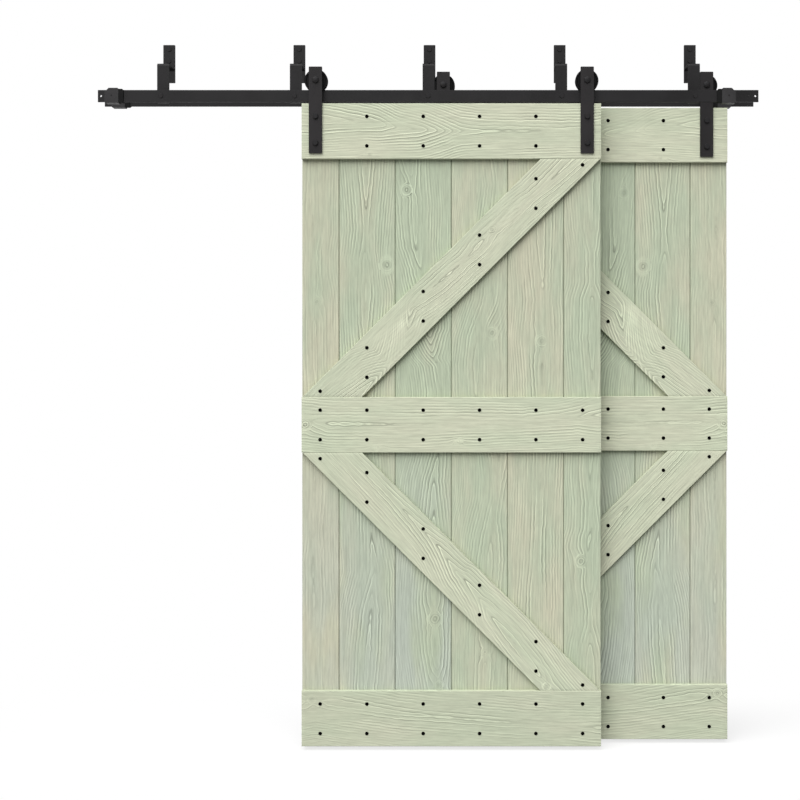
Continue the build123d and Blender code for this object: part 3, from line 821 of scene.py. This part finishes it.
def board_across(leaf, name, settings, grain, kind, mirror, materials):
    """A board across the leaf, its grain lengthways."""
    low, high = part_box(f"{leaf}_{name}_board")
    middle, start = (low.z + high.z) / 2, low.x if mirror > 0 else high.x
    timber(
        leaf, f"{name}_board", settings, grain, kind, materials, edges=(low.z, high.z),
        rows=spaced(low.x, high.x, settings.step_along),
        place=lambda across, along, depth: (along, depth, across),
        lay=lambda across, along: (across - middle, mirror * (along - start)),
    )


def brace(leaf, name, middle, side, angle, settings, grain, kind, mirror, materials):
    """A slanting brace, cut level where it meets the boards."""
    low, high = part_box(f"{leaf}_{name}_brace")
    half = BRACE_WIDTH / math.sin(angle) / 2
    lean = side / math.tan(angle)

    def lay(across, along):
        """Across and along the brace's own length."""
        up = along - middle.z
        along = up / math.sin(angle) + across * side * math.cos(angle)
        return mirror * across * math.sin(angle), along

    timber(
        leaf, f"{name}_brace", settings, grain, kind, materials, edges=(-half, half),
        rows=spaced(low.z, high.z, settings.step_along * math.sin(angle)),
        place=lambda across, along, depth: (
            middle.x + across + (along - middle.z) * lean, depth, along
        ),
        lay=lay,
    )


# Turned and threaded parts


def islands(node):
    """Axis x and z and the front and back y of each solid in a CAD node, from left to right."""
    shape = bmesh.new()
    shape.from_mesh(frame["nodes"][node].data)
    bmesh.ops.remove_doubles(shape, verts=shape.verts, dist=1e-6)
    left, boxes = set(shape.verts), []
    while left:
        found, edge = set(), [left.pop()]
        while edge:
            vertex = edge.pop()
            found.add(vertex)
            near = {e.other_vert(vertex) for e in vertex.link_edges} & left
            left -= near
            edge.extend(near)
        points = np.array([v.co for v in found])
        boxes.append((Vector(points.min(0)), Vector(points.max(0))))
    shape.free()
    boxes.sort(key=lambda box: (round(box[0].x, 4), round(box[0].z, 4)))
    return [((low.x + high.x) / 2, (low.z + high.z) / 2, low.y, high.y) for low, high in boxes]


class Turned:
    """Collects turned, hexagonal and threaded parts whose axis runs along Y."""

    def __init__(self, name):
        self.name = name
        self.shape = bmesh.new()

    def point(self, x, z, y, angle, reach):
        """A point at an angle and a distance from the axis."""
        return self.shape.verts.new((x + reach * math.cos(angle), y, z + reach * math.sin(angle)))

    def ring(self, x, z, y, radius, count, wave=0.0, flats=math.inf):
        """A ring of points; wave makes it lobed, flats cuts it down to a hexagon."""
        points = []
        for n in range(count):
            angle = 2 * math.pi * n / count
            from_flat = (angle + math.pi / 6) % (math.pi / 3) - math.pi / 6
            reach = min(radius * (1 + wave * math.cos(6 * angle)), flats / 2 / math.cos(from_flat))
            points.append(self.point(x, z, y, angle, reach))
        return points

    def skin(self, rings):
        """Join rings of equal count into a closed body."""
        for low, high in zip(rings, rings[1:]):
            for a, b, c, d in zip(low, low[1:] + low[:1], high[1:] + high[:1], high):
                self.shape.faces.new((a, b, c, d))
        self.shape.faces.new(rings[0])
        self.shape.faces.new(rings[-1])

    def hex_head(self, x, z, front, seat_y, flats, chamfer):
        """A hexagon head with a round chamfer that bites into its corners."""
        widest = flats / math.sqrt(3)
        spare = widest - flats / 2
        outline = (
            (front, 0.465 * flats),
            (front + chamfer / 2, 0.4825 * flats + 0.3 * spare),
            (front + chamfer, 0.5 * flats + 0.8 * spare),
            (front + 2 * chamfer, widest),
            (seat_y, widest),
        )
        self.skin([self.ring(x, z, y, reach, 48, flats=flats) for y, reach in outline])

    def rod(self, x, z, start, end, radius):
        """A plain round rod."""
        self.skin([self.ring(x, z, y, radius, 32) for y in (start, end)])

    def thread(self, x, z, start, end, crest, pitch, point=0.0):
        """A helical thread from start to end, tapered over its point."""
        count = 20
        root = crest - (0.6 if point else 0.55) * pitch
        profile = ((0.0, root), (0.3, root), (0.62, crest), (0.72, crest), (1.0, root))
        steps = int(((end - start) / pitch - 1) * count)

        def taper(y):
            """Share of the full radius at this depth."""
            return min(1.0, max(0.04, (end - y) / point)) if point else 1.0

        columns = []
        for step in range(steps + 1):
            angle = 2 * math.pi * step / count
            lead_in = min(1.0, step / count, (steps - step) / count + (1 if point else 0))
            column = []
            for share, radius in profile:
                if share == 0.0 and step >= count:
                    column.append(columns[step - count][-1])
                    continue
                y = start + pitch * (step / count + share)
                reach = (root + (radius - root) * lead_in) * taper(y)
                column.append(self.point(x, z, y, angle, reach))
            columns.append(column)
        for before, after in zip(columns, columns[1:]):
            for a, b, c, d in zip(before, before[1:], after[1:], after):
                self.shape.faces.new((a, b, c, d))
        core = root * 0.98
        outline = (
            (start, core * taper(start)), (end - point - pitch / 2, core), (end, core * taper(end)),
        )
        self.skin([self.ring(x, z, y, reach, count) for y, reach in outline])

    def wood_screw(self, x, z, front, seat_y, end, settings):
        """A low domed head with a lobed drive recess, and its shank."""
        recess, deep = settings.screw_recess, settings.screw_recess_depth
        crown, rim, shank = settings.screw_crown, settings.screw_head, settings.screw_shank
        height = seat_y - front
        outline = (
            (front + deep, recess * 0.35, 0.0),
            (front + deep, recess * 0.8, 0.16),
            (front + 0.1 * height, recess, 0.16),
            (front, recess * 1.15, 0.06),
            (front, crown, 0.0),
            (front + 0.45 * height, (crown + 2 * rim) / 3, 0.0),
            (front + 0.8 * height, rim, 0.0),
            (seat_y, rim, 0.0),
            (seat_y, shank, 0.0),
            (end - 2 * rim, shank, 0.0),
            (end, 0.1 * shank, 0.0),
        )
        self.skin([self.ring(x, z, y, reach, 24, wave) for y, reach, wave in outline])

    def finish(self, material, body, slot, *nodes):
        """Make the object."""
        mesh = bpy.data.meshes.new(self.name)
        self.shape.to_mesh(mesh)
        self.shape.free()
        mesh.materials.append(material)
        fair(mesh, 35)
        seat(add_object(self.name, mesh), body, slot, *nodes)


def hex_bolts(name, node, body, shank, head_height, flats, settings, material):
    """Hex bolts with a threaded end, one for each solid of a node."""
    turned = Turned(name)
    for x, z, front, end in islands(node):
        seat_y = front + head_height
        thread_start = end - settings.bolt_thread
        turned.hex_head(x, z, front, seat_y, flats, settings.head_chamfer)
        turned.rod(x, z, seat_y - MILLIMETRE, thread_start, shank)
        turned.thread(x, z, thread_start - settings.bolt_pitch, end, shank, settings.bolt_pitch)
    turned.finish(material, body, "fastener_coat", node)


# Operators


class BARNDOOR_OT_stage(bpy.types.Operator):
    """Build the floor, the lights, the white room and the camera"""

    bl_idname = "barndoor.stage"
    bl_label = "Stage"

    def execute(self, context):
        settings = context.scene.barndoor_stage
        self.floor(settings)
        self.lights(settings)
        self.camera(settings)
        context.scene.view_settings.view_transform = "Standard"
        return {"FINISHED"}

    def floor(self, settings):
        """A pale floor that keeps the door's shadow and turns to plain white around it."""
        level, reach = CAD_LOW.z - settings.floor_gap, settings.floor_reach
        corners = [(-reach, -reach), (reach, -reach), (reach, reach), (-reach, reach)]
        mesh = bpy.data.meshes.new("floor")
        mesh.from_pydata([(x, y, level) for x, y in corners], [], [(0, 1, 2, 3)])
        add_object("floor", mesh)

        make, grey = Finish("pale_floor"), settings.floor_grey
        make.coat({"Base Color": (grey, grey, grey, 1.0), "Roughness": 0.9})
        place = make.node("ShaderNodeSeparateXYZ", {0: make.place()})
        middle = (CAD_LOW + CAD_HIGH) / 2
        half = (CAD_HIGH - CAD_LOW) / 2
        far = []
        for axis, centre, size in (("X", middle.x, half.x), ("Y", middle.y, half.y)):
            gone = make.math("ABSOLUTE", make.math("SUBTRACT", place.outputs[axis], centre))
            far.append(make.ease(gone, size, size + settings.floor_fade, settings.floor_glow))
        seen = make.seen("Is Camera Ray", "Is Glossy Ray", "Is Transmission Ray")
        share = make.math("MAXIMUM", make.math("MAXIMUM", *far), make.math("SUBTRACT", 1.0, seen))
        strength = make.ease(seen, 0.0, 1.0, settings.room_strength, 1.0)
        white = make.node("ShaderNodeEmission", {"Color": (1, 1, 1, 1), "Strength": strength})
        mixed = make.node(
            "ShaderNodeMixShader", {0: share, 1: make.shader.outputs[0], 2: white.outputs[0]}
        )
        make.put(make.tree.nodes["Material Output"].inputs["Surface"], mixed.outputs[0])
        mesh.materials.append(make.material)

    def lights(self, settings):
        """A high soft key light and an even room."""
        key = bpy.data.lights.new("key_light", "SUN")
        key.energy = settings.key_strength
        key.angle = settings.key_softness
        lamp = add_object("key_light", key)
        height, side = settings.key_height, settings.key_side
        towards = Vector((
            math.sin(side) * math.cos(height), math.cos(side) * math.cos(height), -math.sin(height),
        ))
        lamp.rotation_euler = towards.to_track_quat("-Z", "Y").to_euler()
        self.pass_track(lamp)

        world = bpy.data.worlds.new("white_room")
        bpy.context.scene.world = world
        room = Nodes(world)
        seen = room.seen("Is Camera Ray", "Is Transmission Ray")
        strength = room.ease(seen, 0.0, 1.0, settings.room_strength, 1.0)
        background = room.tree.nodes["Background"]
        room.put(background.inputs["Color"], (1, 1, 1, 1))
        room.put(background.inputs["Strength"], strength)

    @staticmethod
    def pass_track(lamp):
        """Let the key light pass all that is fixed to the wall, so it shades no leaf."""
        passed = bpy.data.collections.new("passed_by_key_light")
        for item in bpy.context.scene.objects:
            if item.type == "MESH" and item.parent == frame["bodies"]["frame"]:
                passed.objects.link(item)
        for held in passed.collection_objects:
            held.light_linking.link_state = "EXCLUDE"
        lamp.light_linking.blocker_collection = passed

    def camera(self, settings):
        """The camera at the photograph's place, looking straight at the wall."""
        data = bpy.data.cameras.new("camera")
        data.lens = settings.lens
        data.shift_x, data.shift_y = settings.shift_x, settings.shift_y
        camera = add_object("camera", data)
        camera.location = settings.camera_place
        camera.rotation_euler = (math.radians(90), 0, 0)
        bpy.context.scene.camera = camera


class BARNDOOR_OT_planks(bpy.types.Operator):
    """Build the upright planks of both leaves"""

    bl_idname = "barndoor.planks"
    bl_label = "Planks"

    def execute(self, context):
        settings = context.scene.barndoor_wood
        paints = wood_paints("plank", settings.plank_light, settings.plank_dark, settings)
        count = len(PLANK_GRAINS)
        for leaf, mirror in LEAVES.items():
            for number in range(1, count + 1):
                kind = number if mirror > 0 else count + 1 - number
                grain = PLANK_GRAINS[kind - 1]
                plank(leaf, number, count, settings, grain, kind, mirror, paints)
        return {"FINISHED"}


class BARNDOOR_OT_boards(bpy.types.Operator):
    """Build the boards across and the braces of both leaves"""

    bl_idname = "barndoor.boards"
    bl_label = "Boards and braces"

    def execute(self, context):
        settings = context.scene.barndoor_wood
        paints = wood_paints("board", settings.board_light, settings.board_dark, settings)
        for leaf, mirror in LEAVES.items():
            for kind, (name, grain) in enumerate(BOARD_GRAINS.items(), start=101):
                board_across(leaf, name, settings, grain, kind, mirror, paints)
            for kind, (name, *line) in enumerate(brace_lines(leaf), start=201):
                brace(leaf, name, *line, settings, BRACE_GRAINS[name], kind, mirror, paints)
        return {"FINISHED"}


class BARNDOOR_OT_screws(bpy.types.Operator):
    """Build the wood screws on both leaves"""

    bl_idname = "barndoor.screws"
    bl_label = "Wood screws"

    def execute(self, context):
        settings = context.scene.barndoor_hardware
        material = moulded("screw_black", settings.screw_black, 0.7, 0.85, 800.0, gloss=0.03)
        for leaf in LEAVES:
            node = f"{leaf}_leaf_screws"
            turned = Turned(f"{leaf}_wood_screws")
            for x, z, front, end in islands(node):
                turned.wood_screw(x, z, front, front + settings.screw_head_height, end, settings)
            turned.finish(material, f"{leaf}_leaf", "screw_coat", node)
        return {"FINISHED"}


class BARNDOOR_OT_track(bpy.types.Operator):
    """Finish the tracks, brackets, spacers, stops and hanger straps"""

    bl_idname = "barndoor.track"
    bl_label = "Track and straps"

    def execute(self, context):
        settings = context.scene.barndoor_hardware
        coat = powder_coat("black_powder_coat", settings.powder)
        strap_coat = powder_coat("strap_powder_coat", settings.strap_powder)
        stop_coat = powder_coat("stop_powder_coat", settings.cast_powder, 0.25 * MILLIMETRE)
        oxide = black_oxide("black_oxide", settings.oxide)
        dress(stop_coat, "end_stops")
        dress(coat, "front_track", "back_track", "front_track_spacers", "back_track_spacers")
        dress(coat, *(f"bracket_{number}" for number in range(1, BRACKETS + 1)))
        dress(oxide, "front_track_nuts", "stop_set_screws")
        for leaf in LEAVES:
            dress(strap_coat, f"{leaf}_left_strap", f"{leaf}_right_strap")
            dress(oxide, f"{leaf}_hanger_nuts", f"{leaf}_axle_sleeves")
        return {"FINISHED"}


class BARNDOOR_OT_lag_screws(bpy.types.Operator):
    """Build the lag screws with their coarse thread"""

    bl_idname = "barndoor.lag_screws"
    bl_label = "Lag screws"

    def execute(self, context):
        settings = context.scene.barndoor_hardware
        material = black_oxide("lag_screw_oxide", settings.oxide)
        turned = Turned("threaded_lag_screws")
        pitch = settings.lag_pitch
        for x, z, front, end in islands("lag_screws"):
            seat_y = front + settings.small_head
            turned.hex_head(x, z, front, seat_y, settings.small_flats, settings.head_chamfer)
            turned.rod(x, z, seat_y - MILLIMETRE, pitch / 2, settings.lag_shank)
            turned.thread(x, z, 0.0, end, settings.lag_crest, pitch, settings.lag_point)
        turned.finish(material, "frame", "fastener_coat", "lag_screws")
        return {"FINISHED"}


class BARNDOOR_OT_bolts(bpy.types.Operator):
    """Build the track bolts, strap bolts and axle bolts"""

    bl_idname = "barndoor.bolts"
    bl_label = "Hex bolts"

    def execute(self, context):
        settings = context.scene.barndoor_hardware
        oxide = black_oxide("bolt_oxide", settings.oxide)
        hex_bolts(
            "hex_track_bolts", "front_track_bolts", "frame", settings.track_bolt_shank,
            settings.small_head, settings.small_flats, settings, oxide,
        )
        heads = {
            "strap": (settings.strap_head, settings.strap_flats),
            "axle": (settings.axle_head, settings.axle_flats),
        }
        for leaf in LEAVES:
            for kind, (head_height, flats) in heads.items():
                hex_bolts(
                    f"{leaf}_hex_{kind}_bolts", f"{leaf}_{kind}_bolts", f"{leaf}_leaf",
                    settings.strap_bolt_shank, head_height, flats, settings, oxide,
                )
        return {"FINISHED"}


class BARNDOOR_OT_wheels(bpy.types.Operator):
    """Finish the nylon wheels, the bearings and the rubber bumpers"""

    bl_idname = "barndoor.wheels"
    bl_label = "Wheels and bumpers"

    def execute(self, context):
        settings = context.scene.barndoor_hardware
        nylon = moulded("wheel_nylon", settings.nylon, 0.45, 0.6, 500.0)
        rubber = moulded("bumper_rubber", settings.rubber, 0.75, 0.9, 900.0)
        steel = moulded("bearing_steel", settings.steel, 0.25, 0.4, 700.0, 1.0, 0.5)
        for leaf in LEAVES:
            dress(nylon, f"{leaf}_left_wheel", f"{leaf}_right_wheel")
            dress(steel, f"{leaf}_left_bearing", f"{leaf}_right_bearing")
        dress(rubber, "stop_bumpers")
        return {"FINISHED"}


OPERATORS = (
    BARNDOOR_OT_planks,
    BARNDOOR_OT_boards,
    BARNDOOR_OT_screws,
    BARNDOOR_OT_track,
    BARNDOOR_OT_lag_screws,
    BARNDOOR_OT_bolts,
    BARNDOOR_OT_wheels,
    BARNDOOR_OT_stage,
)
SETTINGS = {
    "barndoor_stage": StageSettings,
    "barndoor_wood": WoodSettings,
    "barndoor_hardware": HardwareSettings,
}


class BARNDOOR_PT_panel(bpy.types.Panel):
    """The barn door's steps and settings"""

    bl_idname = "BARNDOOR_PT_panel"
    bl_label = "Barn door"
    bl_space_type = "VIEW_3D"
    bl_region_type = "UI"
    bl_category = "Barn door"

    def draw(self, context):
        for operator in OPERATORS:
            self.layout.operator(operator.bl_idname)
        for name, group in SETTINGS.items():
            box = self.layout.box()
            for setting in group.__annotations__:
                box.prop(getattr(context.scene, name), setting)


def register():
    """Register the settings, the operators and the panel."""
    for name, group in SETTINGS.items():
        bpy.utils.register_class(group)
        setattr(bpy.types.Scene, name, PointerProperty(type=group))
    for item in (*OPERATORS, BARNDOOR_PT_panel):
        bpy.utils.register_class(item)


def unregister():
    """Take everything out again."""
    for item in (BARNDOOR_PT_panel, *reversed(OPERATORS)):
        bpy.utils.unregister_class(item)
    for name, group in reversed(SETTINGS.items()):
        delattr(bpy.types.Scene, name)
        bpy.utils.unregister_class(group)


def main():
    """Register the add-on and dress the door."""
    register()
    for operator in OPERATORS:
        package, step = operator.bl_idname.split(".")
        getattr(getattr(bpy.ops, package), step)()


if __name__ == "__main__":
    main()
